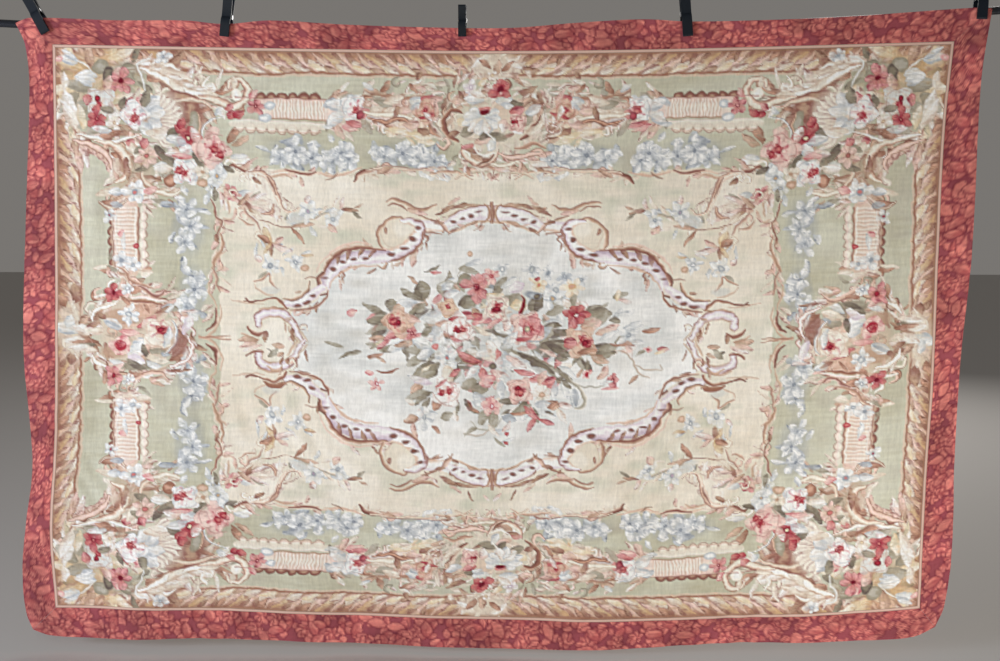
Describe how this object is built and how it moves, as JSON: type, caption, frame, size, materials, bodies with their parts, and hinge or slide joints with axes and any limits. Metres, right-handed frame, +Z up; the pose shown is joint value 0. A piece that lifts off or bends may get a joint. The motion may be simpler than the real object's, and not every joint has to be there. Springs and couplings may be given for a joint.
{
  "type": "tapestry hung from a crossbar by spring clamps",
  "caption": "Wide floral woven tapestry with a printed cotton border, hung flat from a bowed round crossbar by spring clamps.",
  "frame": {"origin": "middle of the crossbar's centre line", "axes": "+X along the crossbar to the right of someone who faces the cloth, +Y away from them, +Z up"},
  "size_m": [3.0014, 0.0513, 1.9489],
  "materials": {
    "weave": "ribbed wool tapestry weave with a floral pattern, matt",
    "edging": "flat woven tape, matt",
    "border": "printed cotton with coral leaves on a dark red ground, matt",
    "bar": "gloss black",
    "clamp": "black, slightly satin",
    "pad": "black, matt",
    "spring": "bright"
  },
  "bodies": {
    "root": {"tapestry_panel": "weave", "edging_top": "edging", "edging_right": "edging", "edging_bottom": "edging", "edging_left": "edging", "border_top": "border", "border_right": "border", "border_bottom": "border", "border_left": "border", "crossbar": "bar", "clamp_1_front_lever": "clamp", "clamp_1_front_pad": "pad", "clamp_1_back_lever": "clamp", "clamp_1_back_pad": "pad", "clamp_1_spring": "spring", "clamp_2_front_lever": "clamp", "clamp_2_front_pad": "pad", "clamp_2_back_lever": "clamp", "clamp_2_back_pad": "pad", "clamp_2_spring": "spring", "clamp_3_front_lever": "clamp", "clamp_3_front_pad": "pad", "clamp_3_back_lever": "clamp", "clamp_3_back_pad": "pad", "clamp_3_spring": "spring", "clamp_4_front_lever": "clamp", "clamp_4_front_pad": "pad", "clamp_4_back_lever": "clamp", "clamp_4_back_pad": "pad", "clamp_4_spring": "spring", "clamp_5_front_lever": "clamp", "clamp_5_front_pad": "pad", "clamp_5_back_lever": "clamp", "clamp_5_back_pad": "pad", "clamp_5_spring": "spring"}
  },
  "joints": []
}
